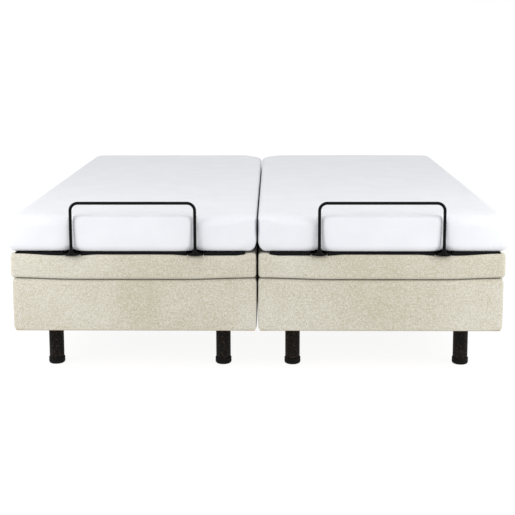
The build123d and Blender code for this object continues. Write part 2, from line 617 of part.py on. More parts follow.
def hinge_leaf(y, direction, fixed):
    """Half of a strap hinge. The fixed half carries the outer knuckles and the pin."""
    made = []
    for offset in HINGE_X:
        x = CX + offset
        ends = sorted((y + direction * 7, y + direction * LEAF_L))
        leaf = block(x - LEAF_W / 2, x + LEAF_W / 2, *ends, PAD_Z1, PAD_Z1 + LEAF_T)
        split, end = KNUCKLE_SPLIT - KNUCKLE_PLAY, KNUCKLE_END
        spans = ((-end, -KNUCKLE_SPLIT), (KNUCKLE_SPLIT, end)) if fixed else ((-split, split),)
        for a, b in spans:
            near = sorted((y, y + direction * 8))
            leaf += rod_x(x + a, x + b, y, HINGE_Z, HINGE_R)
            leaf += block(x + a, x + b, *near, PAD_Z1, PAD_Z1 + LEAF_T)
        for hx in (-SCREW_X, SCREW_X):
            leaf -= rod_z(x + hx, y + direction * SCREW_Y, PAD_Z1 - 1, PAD_Z1 + 5, SCREW_R)
        if fixed:
            leaf += rod_x(x - end, x + end, y, HINGE_Z, HINGE_PIN_R)
        else:
            leaf -= rod_x(x - end, x + end, y, HINGE_Z, HINGE_PIN_R + RUN)
        made.append(leaf)
    return made


def seat_hinges():
    return hinge_leaf(BACK_Y, -1, True) + hinge_leaf(THIGH_Y, 1, True)


def back_hinges():
    return hinge_leaf(BACK_Y, 1, False)


def thigh_hinges():
    return hinge_leaf(THIGH_Y, -1, False)


def section_frame(y0, y1, crosses):
    """Welded square-tube frame under a moving section: two side rails and some cross tubes."""
    made = []
    half = TUBE / 2
    for x in (CX - SIDE_RAIL_X, CX + SIDE_RAIL_X):
        made.append(tube_y(x - half, x + half, y0, y1, FRAME_Z0, PAD_Z0))
    for y in crosses:
        made.append(
            tube_x(CX - SIDE_RAIL_X + half, CX + SIDE_RAIL_X - half, y, FRAME_Z0, PAD_Z0)
        )
    return made


def track(hinge_y, direction, tube_y_mid, arm_length, y0, y1):
    """Curved runners that the rollers push on, each under a tube that joins two cross tubes.

    A torque tube and its arm turn with the section, so seen from the section the roller moves
    on an arc about a centre that stands off the hinge by one arm.
    """
    reach = math.dist((hinge_y, HINGE_Z), (tube_y_mid, TORQUE_Z))
    radius = reach - ROLLER_R - TRACK_GAP
    centre_y = hinge_y + direction * math.sqrt(arm_length**2 - ARM_RISE**2)
    centre_z = HINGE_Z + ARM_RISE
    half = abs(tube_y_mid - hinge_y) * radius / reach + TRACK_MARGIN
    end_z = centre_z - math.sqrt(radius**2 - half**2)
    near, far = centre_y - half, centre_y + half
    outline = Line((near, FRAME_Z0), (far, FRAME_Z0)) + Line((far, FRAME_Z0), (far, end_z))
    outline += ThreePointArc((far, end_z), (centre_y, centre_z - radius), (near, end_z))
    outline += Line((near, end_z), (near, FRAME_Z0))
    runner = extrude(Plane.YZ * make_face(outline), TRACK_W)
    made = []
    for x in (CX - ROLLER_X, CX + ROLLER_X):
        made.append(Pos(x - TRACK_W / 2, 0, 0) * runner)
        made.append(tube_y(x - TUBE / 2, x + TUBE / 2, y0, y1, FRAME_Z0, PAD_Z0))
    return made


def back_frame():
    half = TUBE / 2
    beside_track = (BACK_TRACK_Y[0] - half, BACK_TRACK_Y[1] + half)
    crosses = (BACK_Y + RAIL_START + half, *beside_track, END_Y - BACK_CROSS_INSET)
    made = section_frame(BACK_Y + RAIL_START, END_Y - BACK_RAIL_INSET, crosses)
    return made + track(BACK_Y, 1, HEAD_TUBE_Y, HEAD_ARM, *BACK_TRACK_Y)


def fold_ear(x, direction, thickness):
    """An ear from a frame's side rail to the calf fold's pin."""
    ends = sorted((CALF_Y, CALF_Y + direction * RAIL_START))
    faces = (x - thickness / 2, x + thickness / 2)
    ear = block(*faces, *ends, CALF_HINGE_Z - FOLD_EAR_R, CALF_HINGE_Z + FOLD_EAR_R)
    return ear + rod_x(*faces, CALF_Y, CALF_HINGE_Z, FOLD_EAR_R)


def thigh_frame():
    half = TUBE / 2
    crosses = (THIGH_TRACK_Y[0] - half, THIGH_TRACK_Y[1] + half)
    made = section_frame(CALF_Y + RAIL_START, THIGH_Y - RAIL_START, crosses)
    made += track(THIGH_Y, -1, FOOT_TUBE_Y, FOOT_ARM, *THIGH_TRACK_Y)
    for side in (-1, 1):
        x, reach = CX + side * SIDE_RAIL_X, FOLD_EAR_X + FOLD_EAR_T / 2
        ears = fold_ear(x - FOLD_EAR_X, 1, FOLD_EAR_T) + fold_ear(x + FOLD_EAR_X, 1, FOLD_EAR_T)
        made.append(ears + rod_x(x - reach, x + reach, CALF_Y, CALF_HINGE_Z, FOLD_PIN_R))
    return made


def calf_frame():
    crosses = [CALF_Y - distance for distance in CALF_CROSS]
    made = section_frame(CALF_Y - CALF_RAIL_LENGTH, CALF_Y - RAIL_START, crosses)
    _, path = calf_link_ends()
    lug_y, lug_z = path[0]
    for side in (-1, 1):
        x = CX + side * SIDE_RAIL_X
        ear = fold_ear(x, -1, FOLD_TONGUE_T)
        made.append(ear - rod_x(x - 20, x + 20, CALF_Y, CALF_HINGE_Z, FOLD_PIN_R + RUN))
        face = CX + side * (SIDE_RAIL_X + TUBE / 2)
        plate = sorted((face, face + side * LUG_T))
        lug = block(*plate, lug_y - LUG_HALF, lug_y + LUG_HALF, lug_z, PAD_Z0)
        lug += rod_x(*plate, lug_y, lug_z, LUG_HALF)
        pin = sorted((face, face - side * 6.2))
        made.append(lug + rod_x(*pin, lug_y, lug_z, LINK_PIN_R))
    return made


def calf_links():
    """Flat links beside the frame. The hole at the calf end is wide, to take up small errors."""
    ground, path = calf_link_ends()
    length = math.dist(ground, path[0])
    bar = link_plate(length, LINK_W, LINK_T)
    bar -= rod_x(-5, 5, 0, 0, LINK_PIN_R + RUN)
    bar -= rod_x(-5, 5, length, 0, LINK_PIN_R + LINK_PLAY)
    turn = Rot(angle_of(ground, path[0]), 0, 0)
    return [
        Pos(CX + side * (RAIL_X + RAIL_W / 2 + 4.5), *ground) * turn * bar for side in (-1, 1)
    ]


# ---- retainer bar ---------------------------------------------------------------------------
def retainer_bar():
    z0 = PAD_Z1 + BRACKET_T
    x0, x1 = CX - BAR_HALF, CX + BAR_HALF
    corners = [(x0, BAR_Y, z0), (x0, BAR_Y, BAR_TOP), (x1, BAR_Y, BAR_TOP), (x1, BAR_Y, z0)]
    path = FilletPolyline(*corners, radius=BAR_BEND)
    return [sweep(Plane(path @ 0, z_dir=path % 0) * Circle(BAR_R), path=path)]


def retainer_brackets():
    """Flat steel tongues with a socket for each end of the bar."""
    made = []
    nose, back = BAR_Y - BRACKET_NOSE, BAR_Y + BRACKET_BACK
    z1 = PAD_Z1 + BRACKET_T
    for x in (CX - BAR_HALF, CX + BAR_HALF):
        plate = block(x - BRACKET_W / 2, x + BRACKET_W / 2, nose, back, PAD_Z1, z1)
        plate = fillet(plate.edges().filter_by(Axis.Z).sort_by(Axis.Y)[:2], BRACKET_NOSE_R)
        plate += rod_z(x, BAR_Y, z1, z1 + SOCKET_HEIGHT, SOCKET_R)
        plate -= rod_z(x, BAR_Y, z1, z1 + SOCKET_HEIGHT + 1, BAR_R + RUN)
        for hx in (-BRACKET_SCREW_X, BRACKET_SCREW_X):
            screw_y = BAR_Y + BRACKET_SCREW_Y
            plate -= rod_z(x + hx, screw_y, PAD_Z1 - 1, z1 + 1, BRACKET_SCREW_R)
        made.append(plate)
    return made


# ---- mattress -------------------------------------------------------------------------------
def mattress(y0, y1, round_foot=False, round_head=False):
    body = block(MATTRESS_X0, MATTRESS_X1, y0, y1, MAT_Z1, MATTRESS_Z1)
    corners = body.edges().filter_by(Axis.Z).sort_by(Axis.Y)
    if round_foot:
        body = fillet(corners[:2], MATTRESS_CORNER_R)
    if round_head:
        body = fillet(corners[-2:], MATTRESS_CORNER_R)
    keep = []
    for e in body.edges():
        middle = e @ 0.5
        upright = abs((e % 0.5).Z) > 0.5
        on_fold = (not round_foot and abs(middle.Y - y0) < 0.1) or (
            not round_head and abs(middle.Y - y1) < 0.1
        )
        if not upright and not on_fold:
            keep.append(e)
    return [fillet(keep, MATTRESS_EDGE_R)]


def mattress_seat():
    return mattress(THIGH_Y, BACK_Y)


def mattress_back():
    return mattress(BACK_Y + 0.6, END_Y, round_head=True)


def mattress_thigh():
    return mattress(CALF_Y + 0.6, THIGH_Y - 0.6)


def mattress_calf():
    return mattress(-END_Y, CALF_Y, round_foot=True)


# ---- write every node -----------------------------------------------------------------------
OWN = {
    "base_cover": base_cover,
    "base_boards": base_boards,
    "mech_frame": mech_frame,
    "seat_pad": seat_pad,
    "mattress_seat": mattress_seat,
    "back_frame": back_frame,
    "back_pad": back_pad,
    "back_hinges": back_hinges,
    "mattress_back": mattress_back,
    "thigh_frame": thigh_frame,
    "thigh_pad": thigh_pad,
    "thigh_hinges": thigh_hinges,
    "mattress_thigh": mattress_thigh,
    "calf_frame": calf_frame,
    "calf_pad": calf_pad,
    "mattress_calf": mattress_calf,
    "retainer_bar": retainer_bar,
    "retainer_brackets": retainer_brackets,
    "head_lift_arm": head_lift_arm,
    "foot_lift_arm": foot_lift_arm,
    "head_rollers": head_rollers,
    "foot_rollers": foot_rollers,
    "head_actuator": lambda: actuator_housing("head"),
    "head_rod": lambda: actuator_rod("head"),
    "foot_actuator": lambda: actuator_housing("foot"),
    "foot_rod": lambda: actuator_rod("foot"),
    "calf_links": calf_links,
}
SHARED = {
    "legs": legs,
    "leg_glides": leg_glides,
    "control_boxes": control_boxes,
    "seat_hinges": seat_hinges,
    "pivot_bearings": pivot_bearings,
}


def solids_of(shapes):
    return [solid for shape in shapes for solid in shape.solids()]


def write(name, shapes):
    moved = [Pos(0, ORIGIN_Y, 0) * solid for solid in solids_of(shapes)]
    export_step(Compound(moved), f"parts/{name}.step")


def mirrored(shapes):
    return [mirror(shape, about=Plane.YZ) for shape in shapes]


def main():
    os.makedirs("parts", exist_ok=True)
    for name, make in OWN.items():
        right = solids_of(make())
        write(f"right_{name}", right)
        write(f"left_{name}", mirrored(right))
    for name, make in SHARED.items():
        right = solids_of(make())
        write(name, right + mirrored(right))
    write("joining_bolts", joining_bolts())


main()
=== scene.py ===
"""Looks of a split-king adjustable bed base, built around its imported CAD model.

Metres, +Z up, +Y towards the head end. Each soft part and trim piece is made once, for the right unit
(+X), and mirrored for the left unit. The mechanism keeps its CAD shapes and gets new materials.
"""

import json
import math

import bmesh
import bpy
import numpy as np
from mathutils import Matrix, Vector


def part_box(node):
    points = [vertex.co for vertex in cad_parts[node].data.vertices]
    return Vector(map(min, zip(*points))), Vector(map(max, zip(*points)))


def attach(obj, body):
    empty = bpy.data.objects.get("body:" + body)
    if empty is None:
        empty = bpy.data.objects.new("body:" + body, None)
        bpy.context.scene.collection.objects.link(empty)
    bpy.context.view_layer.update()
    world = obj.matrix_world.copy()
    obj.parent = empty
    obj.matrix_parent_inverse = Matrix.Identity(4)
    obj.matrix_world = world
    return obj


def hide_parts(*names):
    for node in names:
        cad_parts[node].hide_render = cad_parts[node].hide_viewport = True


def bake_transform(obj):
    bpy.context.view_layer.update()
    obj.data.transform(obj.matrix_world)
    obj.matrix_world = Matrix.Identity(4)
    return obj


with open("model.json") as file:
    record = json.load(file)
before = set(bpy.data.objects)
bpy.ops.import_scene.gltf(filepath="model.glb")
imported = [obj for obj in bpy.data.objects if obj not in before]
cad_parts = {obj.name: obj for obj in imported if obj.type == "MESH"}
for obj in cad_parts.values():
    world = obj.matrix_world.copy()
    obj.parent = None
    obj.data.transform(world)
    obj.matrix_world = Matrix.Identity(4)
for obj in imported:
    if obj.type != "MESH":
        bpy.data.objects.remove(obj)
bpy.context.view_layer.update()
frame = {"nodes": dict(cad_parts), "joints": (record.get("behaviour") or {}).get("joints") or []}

# ---- places read from the frame ---------------------------------------------------------------
COVER_LOW, COVER_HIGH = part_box("right_base_cover")
MATTRESS_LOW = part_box("right_mattress_calf")[0]
MATTRESS_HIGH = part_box("right_mattress_back")[1]
BAR_LOW, BAR_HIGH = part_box("right_retainer_bar")
BRACKET_LOW, BRACKET_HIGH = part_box("right_retainer_brackets")
JOINTS = {joint["name"]: joint for joint in frame["joints"]}
CENTRE_X = (COVER_LOW.x + COVER_HIGH.x) / 2
CENTRE_Y = (COVER_LOW.y + COVER_HIGH.y) / 2
BACK_FOLD = JOINTS["right_back_tilt"]["pos_m"][1]
THIGH_FOLD = JOINTS["right_thigh_tilt"]["pos_m"][1]
CALF_FOLD = JOINTS["right_calf_hinge"]["pos_m"][1]
MAT_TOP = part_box("right_calf_pad")[1].z
SIDES = {"right": 1, "left": -1}

# ---- sizes, metres ----------------------------------------------------------------------------
MAT_HEIGHT = 0.009
MAT_INSET = 0.020
MAT_INNER_INSET = 0.043
BAR_R = 0.006
POST_X = (BAR_LOW.x + BAR_R, BAR_HIGH.x - BAR_R)
POST_Y = BAR_LOW.y + BAR_R
LEG_X, LEG_Y, LEG_R = 0.344, 0.870, 0.030
HINGE_X = (-0.330, 0.0, 0.330)
LEAF_HALF, LEAF_LENGTH = 0.032, 0.048  # the notch in a mat round each hinge
BLEND_HALF = 0.135  # half the stretch of mattress that bends at a fold at its top
KNEE_HALF = 0.150
SAG = 0.0065  # the seam between box and deck hangs this much lower in the middle of each end
PAD_TOP = MAT_TOP - MAT_HEIGHT
MATTRESS_EDGE = 0.066  # the stretch at each side of the mattress that has a finer grid
PANEL_CORNER = 0.028  # the radius of the upper corners of the mattress's panel between the posts
STITCH_Z = PAD_TOP - 0.028
FOLD_GAP, KNEE_GAP, FOOT_GAP = 0.009, 0.003, 0.006  # from a mat's edge to the fold or to the foot
POCKET_HALF, POCKET_GAP = 0.034, 0.005  # the notch in the calf's mat round each bracket
TONGUE_HALF, TONGUE_ROUND, TONGUE_HEIGHT = 0.031, 0.026, 0.004
BOLT_X, BOLT_BACK = 0.018, 0.018  # from the post, and from the tongue's back edge
COVER_THICK = 0.006
COVER_WRAP = 0.0255  # how far the cover goes in over the boards' top
COVER_FLAP = 0.022  # how far it then hangs inside the boards
COVER_OVER = 0.009  # its padding on the boards' top
FLAP_THICK = 0.001


# ---- mesh building ----------------------------------------------------------------------------
def smooth(a, b, x):
    """0 before a, 1 after b, and a smooth step between them."""
    t = np.clip((x - a) / (b - a), 0, 1)
    return t * t * (3 - 2 * t)


def bump(x, centre, width):
    return np.exp(-(((x - centre) / width) ** 2))


def ripple(a, b, wave, seed):
    """A gentle uneven field from -1 to 1 over two coordinates. Its features are about a wave long."""
    total = 0
    for i in range(5):
        turn = seed * 1.7 + i * 2.4
        size = 2 * math.pi / wave * (0.7 + 0.23 * i)
        total = total + np.sin(size * (a * math.cos(turn) + b * math.sin(turn)) + seed * 3.1 + i * 1.3)
    return total / 5


def lines(low, high, step, *bands):
    """Grid lines from low to high, a step apart. Each band (centre, half width, step) is finer."""
    made = [low]
    while True:
        here, size = made[-1], step
        for centre, half, fine in bands:
            if abs(here - centre) < half:
                size = min(size, fine)
            elif here < centre - half:
                size = min(size, max(fine, centre - half - here))
        if here + size * 1.5 > high:
            return np.array(made + [high])
        made.append(here + size)


def shell(xs, ys, zs):
    """The skin of a box gridded by three lists of lines: points, quads, quad sides and corner UVs.

    Sides are numbered 0 and 1 for low and high X, 2 and 3 for Y, and 4 and 5 for Z. UVs are metres.
    """
    grid = np.stack(np.meshgrid(xs, ys, zs, indexing="ij"), -1)
    skin = np.ones(grid.shape[:3], bool)
    skin[1:-1, 1:-1, 1:-1] = False
    number = np.full(skin.shape, -1)
    number[skin] = np.arange(skin.sum())
    sheets = (
        (number[0], True, (1, 2)),
        (number[-1], False, (1, 2)),
        (number[:, 0], False, (0, 2)),
        (number[:, -1], True, (0, 2)),
        (number[:, :, 0], True, (0, 1)),
        (number[:, :, -1], False, (0, 1)),
    )
    points = grid[skin]
    faces, sides, uvs = [], [], []
    for side, (sheet, flip, axes) in enumerate(sheets):
        corners = (sheet[:-1, :-1], sheet[1:, :-1], sheet[1:, 1:], sheet[:-1, 1:])
        quads = np.stack(corners, -1).reshape(-1, 4)
        quads = quads[:, ::-1] if flip else quads
        faces.append(quads)
        sides.append(np.full(len(quads), side))
        uvs.append(points[quads][..., list(axes)])
    return points, np.concatenate(faces), np.concatenate(sides), np.concatenate(uvs)


def rounded(points, low, high, r_low, r_high):
    """Moves points from a sharp box onto the same box with round edges and corners.

    r_low and r_high hold the radii along X, Y and Z at the low and high sides, for all points or each.
    """
    centre, half = (np.array(low) + np.array(high)) / 2, (np.array(high) - np.array(low)) / 2
    q = points - centre
    radius = np.where(q < 0, r_low, r_high)
    flat = half - radius
    share = np.clip((np.abs(q) - flat) / radius, 0, 1)
    longest, length = share.max(1, keepdims=True), np.linalg.norm(share, axis=1, keepdims=True)
    scale = np.divide(longest, length, out=np.ones_like(length), where=length > 0)
    return centre + np.where(share > 0, np.sign(q) * (flat + radius * share * scale), q)


def add_object(name, mesh):
    made = bpy.data.objects.new(name, mesh)
    bpy.context.scene.collection.objects.link(made)
    return made


def grid_object(name, side, points, faces, uvs, materials, which=None, flat=None):
    """An object from arrays, made for the right unit and mirrored for the left."""
    if SIDES[side] < 0:
        points = points * (-1, 1, 1)
        faces, uvs = faces[:, ::-1], uvs[:, ::-1]
    mesh = bpy.data.meshes.new(name)
    mesh.from_pydata(points.tolist(), [], faces.tolist())
    mesh.uv_layers.new(name="UVMap").data.foreach_set("uv", uvs.reshape(-1).astype(np.float32))
    for material in materials:
        mesh.materials.append(material)
    if which is not None:
        mesh.polygons.foreach_set("material_index", which.astype(np.int32))
    is_smooth = np.ones(len(faces), bool) if flat is None else ~flat
    mesh.polygons.foreach_set("use_smooth", is_smooth)
    mesh.update()
    if flat is not None:
        edge_of = np.empty(len(mesh.loops), np.int32)
        mesh.loops.foreach_get("edge_index", edge_of)
        flat_sides = np.bincount(edge_of, np.repeat(flat, 4), len(mesh.edges))
        mesh.edges.foreach_set("use_edge_sharp", flat_sides == 1)
    return add_object(name, mesh)


def solid_object(name, bm, material, bevel=0.0):
    """An object from a bmesh, with its edges rounded by a bevel."""
    bmesh.ops.recalc_face_normals(bm, faces=bm.faces)
    mesh = bpy.data.meshes.new(name)
    bm.to_mesh(mesh)
    bm.free()
    mesh.materials.append(material)
    mesh.polygons.foreach_set("use_smooth", [True] * len(mesh.polygons))
    made = add_object(name, mesh)
    if bevel:
        rounding = made.modifiers.new("edges", "BEVEL")
        rounding.width, rounding.segments = bevel, 3
        rounding.limit_method, rounding.angle_limit = "ANGLE", math.radians(40)
        rounding.harden_normals = True
    return made


def extruded(bm, outline, low_z, high_z):
    """A flat plate with the given outline, a list of (x, y)."""
    bottom = bm.faces.new([bm.verts.new((x, y, low_z)) for x, y in outline])
    top = bmesh.ops.extrude_face_region(bm, geom=[bottom], use_keep_orig=True)["geom"]
    for vert in top:
        if isinstance(vert, bmesh.types.BMVert):
            vert.co.z = high_z


def turned(bm, profile, x, y, segments=48, reach_y=1.0):
    """A solid turned about an upright axis. profile is a list of (radius, z) from the bottom up.

    reach_y is the furthest that it goes from the axis along Y, so a wider ring becomes an ellipse.
    """
    rings = []
    for radius, z in profile:
        ring = []
        for i in range(segments):
            angle = 2 * math.pi * i / segments
            dx, dy = radius * math.cos(angle), min(radius, reach_y) * math.sin(angle)
            ring.append(bm.verts.new((x + dx, y + dy, z)))
        rings.append(ring)
    for lower, upper in zip(rings, rings[1:]):
        for i in range(segments):
            j = (i + 1) % segments
            bm.faces.new((lower[i], lower[j], upper[j], upper[i]))
    bm.faces.new(rings[0][::-1])
    bm.faces.new(rings[-1])


def arc(centre, radius, start, end, steps):
    """Points on an arc, from start to end in degrees."""
    angles = [math.radians(start + (end - start) * i / steps) for i in range(steps + 1)]
    return [(centre[0] + radius * math.cos(a), centre[1] + radius * math.sin(a)) for a in angles]


def mirrored(outline, side):
    return [(x * SIDES[side], y) for x, y in outline]


# ---- materials --------------------------------------------------------------------------------
class Shader:
    """A material with a Principled shader, and a short way to add and join nodes."""

    def __init__(self, name, **settings):
        self.material = bpy.data.materials.new(name)
        self.material.use_nodes = True
        self.tree = self.material.node_tree
        self.main = self.tree.nodes["Principled BSDF"]
        for key, value in settings.items():
            self.main.inputs[key.replace("_", " ")].default_value = value

    def node(self, kind, inputs=None, **settings):
        made = self.tree.nodes.new("ShaderNode" + kind)
        for key, value in settings.items():
            setattr(made, key, value)
        for key, value in (inputs or {}).items():
            self.join(value, made.inputs[key])
        return made

    def join(self, value, socket):
        if isinstance(value, bpy.types.NodeSocket):
            self.tree.links.new(value, socket)
        else:
            socket.default_value = value

    def where(self, kind="Object"):
        return self.node("TexCoord").outputs[kind]

    def math(self, operation, a, b=0.0, c=0.0):
        return self.node("Math", {0: a, 1: b, 2: c}, operation=operation).outputs[0]

    def scaled(self, vector, x, y, z):
        return self.node("VectorMath", {0: vector, 1: (x, y, z)}, operation="MULTIPLY").outputs[0]

    def noise(self, vector, scale=1.0, detail=2.0, roughness=0.5):
        inputs = {"Vector": vector, "Scale": scale, "Detail": detail, "Roughness": roughness}
        return self.node("TexNoise", inputs).outputs[0]

    def range(self, value, from_low, from_high, to_low, to_high):
        made = self.node("MapRange", {0: value, 1: from_low, 2: from_high, 3: to_low, 4: to_high})
        return made.outputs[0]

    def mix(self, share, a, b):
        made = self.node("Mix", data_type="RGBA")
        self.join(share, made.inputs[0])
        self.join(a, made.inputs[6])
        self.join(b, made.inputs[7])
        return made.outputs[2]

    def relief(self, height, strength, distance, under=None):
        inputs = {"Height": height, "Strength": strength, "Distance": distance}
        if under is not None:
            inputs["Normal"] = under
        return self.node("Bump", inputs).outputs[0]

    def finish(self, colour=None, roughness=None, normal=None):
        for value, name in ((colour, "Base Color"), (roughness, "Roughness"), (normal, "Normal")):
            if value is not None:
                self.join(value, self.main.inputs[name])
        return self.material


def rgb(red, green, blue):
    """A colour given as sRGB from 0 to 255, as the linear colour that a shader takes."""
    linear = []
    for value in (red, green, blue):
        share = value / 255
        linear.append(share / 12.92 if share <= 0.04045 else ((share + 0.055) / 1.055) ** 2.4)
    return (*linear, 1.0)


def linen():
    """Heathered beige upholstery: a plain weave of uneven yarns with darker flecks."""
    s = Shader("linen", Sheen_Weight=0.25, Sheen_Roughness=0.6, Specular_IOR_Level=0.25)
    uv = s.where("UV")
    across = s.noise(s.scaled(uv, 70, 620, 1), detail=3.0, roughness=0.6)
    down = s.noise(s.scaled(uv, 620, 70, 1), detail=3.0, roughness=0.6)
    yarn = s.math("ADD", across, down)
    blotch = s.noise(s.where(), 240.0, 2.0, 0.6)
    cloud = s.noise(s.where(), 3.2, 2.0)
    slub = s.noise(s.scaled(uv, 14, 480, 1), detail=2.0)
    light = s.math("ADD", s.range(yarn, 0.7, 1.3, -0.5, 0.5), s.range(blotch, 0.3, 0.7, -0.5, 0.5))
    light = s.math("ADD", light, s.range(slub, 0.3, 0.7, -0.2, 0.2))
    light = s.math("ADD", light, s.range(cloud, 0.3, 0.7, 0.32, 0.72))
    colour = s.mix(light, rgb(170, 163, 139), rgb(203, 200, 190))
    fleck = s.range(s.noise(s.scaled(uv, 420, 300, 1), 1.0, 1.0), 0.64, 0.72, 0.0, 0.5)
    colour = s.mix(fleck, colour, rgb(140, 130, 106))
    u, v, _ = s.node("SeparateXYZ", {0: uv}).outputs
    warp = s.math("SINE", s.math("MULTIPLY", u, 2 * math.pi / 0.0017))
    weft = s.math("SINE", s.math("MULTIPLY", v, 2 * math.pi / 0.0017))
    weave = s.math("MULTIPLY", warp, weft)
    height = s.math("ADD", s.math("MULTIPLY", weave, 0.35), yarn)
    normal = s.relief(height, 0.55, 0.0006)
    normal = s.relief(blotch, 0.35, 0.0012, normal)
    return s.finish(colour, s.range(yarn, 0.7, 1.3, 0.86, 0.98), normal)


def knit():
    """White stretch knit of a mattress cover: fine ribs and a soft quilted grain."""
    s = Shader("knit", Sheen_Weight=0.15, Sheen_Roughness=0.5, Specular_IOR_Level=0.2)
    uv = s.where("UV")
    u, v, _ = s.node("SeparateXYZ", {0: uv}).outputs
    loops = s.math(
        "MULTIPLY",
        s.math("SINE", s.math("MULTIPLY", u, 2 * math.pi / 0.0026)),
        s.math("SINE", s.math("MULTIPLY", v, 2 * math.pi / 0.0038)),
    )
    grain = s.noise(s.where(), 260.0, 3.0)
    soft = s.noise(s.where(), 9.0, 2.0)
    colour = s.mix(s.range(soft, 0.3, 0.7, 0.0, 1.0), rgb(213, 214, 218), rgb(217, 218, 222))
    colour = s.mix(s.range(grain, 0.35, 0.65, 0.10, 0.0), colour, rgb(192, 193, 198))
    normal = s.relief(s.math("ADD", loops, grain), 0.30, 0.0005)
    normal = s.relief(soft, 0.10, 0.002, normal)
    return s.finish(colour, s.range(grain, 0.3, 0.7, 0.80, 0.92), normal)


def underlay():
    """Black non-woven cloth stapled under a deck section: pressed dimples over loose fibres."""
    s = Shader("underlay", Specular_IOR_Level=0.2)
    dimples = s.node("TexVoronoi", {"Vector": s.where(), "Scale": 420.0}).outputs["Distance"]
    fibres = s.noise(s.scaled(s.where(), 700, 260, 700), 1.0, 4.0, 0.7)
    colour = s.mix(fibres, rgb(20, 20, 21), rgb(46, 46, 48))
    normal = s.relief(s.math("ADD", dimples, fibres), 0.4, 0.0006)
    return s.finish(colour, s.range(fibres, 0.3, 0.7, 0.85, 0.98), normal)


def grip():
    """Black non-slip mat under a mattress: woven polyester with rows of raised rubber dots."""
    s = Shader("grip_mat", Specular_IOR_Level=0.1)
    u, v, _ = s.node("SeparateXYZ", {0: s.where()}).outputs
    rows = s.math("SINE", s.math("MULTIPLY", u, 2 * math.pi / 0.009))
    columns = s.math("SINE", s.math("MULTIPLY", v, 2 * math.pi / 0.009))
    dots = s.range(s.math("MULTIPLY", rows, columns), 0.25, 0.6, 0.0, 1.0)
    cloth = s.noise(s.where(), 900.0, 2.0)
    colour = s.mix(cloth, rgb(6, 6, 7), rgb(22, 22, 24))
    colour = s.mix(s.math("MULTIPLY", dots, 0.7), colour, rgb(14, 14, 15))
    normal = s.relief(s.math("ADD", dots, s.math("MULTIPLY", cloth, 0.4)), 0.6, 0.0012)
    return s.finish(colour, s.range(dots, 0.0, 1.0, 0.9, 0.55), normal)


def chipboard():
    """Particle board: pressed flakes of light and dark wood."""
    s = Shader("chipboard", Specular_IOR_Level=0.3)
    flakes = s.node("TexVoronoi", {"Vector": s.where(), "Scale": 260.0, "Randomness": 1.0})
    tone = s.node("SeparateXYZ", {0: flakes.outputs["Color"]}).outputs[0]
    fibre = s.noise(s.where(), 700.0, 4.0, 0.65)
    cloud = s.noise(s.where(), 14.0, 2.0)
    colour = s.mix(tone, rgb(150, 118, 78), rgb(206, 176, 130))
    colour = s.mix(s.range(fibre, 0.4, 0.75, 0.0, 0.55), colour, rgb(120, 90, 56))
    colour = s.mix(s.range(cloud, 0.3, 0.7, 0.0, 0.25), colour, rgb(184, 150, 104))
    normal = s.relief(s.math("ADD", tone, fibre), 0.35, 0.0005)
    return s.finish(colour, s.range(fibre, 0.3, 0.7, 0.7, 0.9), normal)


def coated(name, dark, light, rough, peel, depth, shine=0.3, speck=None):
    """Powder-coated steel: orange peel, uneven gloss, and specks where speck gives their colour."""
    s = Shader(name, Specular_IOR_Level=shine)
    skin = s.noise(s.where(), peel, 3.0, 0.6)
    cloud = s.noise(s.where(), 18.0, 3.0)
    colour = s.mix(s.range(cloud, 0.3, 0.7, 0.0, 1.0), dark, light)
    if speck:
        specks = s.range(s.noise(s.where(), peel * 0.8, 2.0), 0.56, 0.68, 0.0, 0.8)
        colour = s.mix(specks, colour, speck)
    normal = s.relief(skin, depth, 0.0005)
    return s.finish(colour, s.range(skin, 0.3, 0.7, rough - 0.08, rough + 0.1), normal)


def rubber():
    s = Shader("rubber", Specular_IOR_Level=0.12)
    grain = s.noise(s.where(), 1300.0, 3.0)
    dust = s.noise(s.where(), 60.0, 4.0, 0.7)
    colour = s.mix(s.range(dust, 0.5, 0.75, 0.0, 0.5), rgb(11, 10, 10), rgb(34, 31, 28))
    return s.finish(colour, s.range(dust, 0.3, 0.7, 0.62, 0.85), s.relief(grain, 0.3, 0.0004))


def zinc():
    """Zinc plate: metallic, with a mottled bluish and yellowish passivation."""
    s = Shader("zinc_plate", Metallic=1.0)
    spangle = s.node("TexVoronoi", {"Vector": s.where(), "Scale": 120.0}).outputs["Color"]
    tone = s.node("SeparateXYZ", {0: spangle}).outputs[0]
    drift = s.noise(s.where(), 30.0, 3.0)
    scratch = s.noise(s.scaled(s.where(), 60, 900, 900), 1.0, 3.0)
    colour = s.mix(tone, rgb(176, 180, 186), rgb(204, 207, 211))
    colour = s.mix(s.range(drift, 0.45, 0.7, 0.0, 0.35), colour, rgb(206, 196, 160))
    normal = s.relief(scratch, 0.12, 0.0003)
    return s.finish(colour, s.range(scratch, 0.3, 0.7, 0.28, 0.46), normal)


def nylon():
    """Natural nylon of the rollers and bushes, slightly cloudy, with faint turning marks."""
    s = Shader("nylon", Subsurface_Weight=0.15, Subsurface_Scale=0.004)
    cloud = s.noise(s.where(), 90.0, 3.0)
    marks = s.noise(s.scaled(s.where(), 1600, 60, 60), 1.0, 2.0)
    colour = s.mix(cloud, rgb(206, 202, 188), rgb(228, 225, 214))
    return s.finish(colour, s.range(marks, 0.3, 0.7, 0.38, 0.55), s.relief(marks, 0.15, 0.0003))


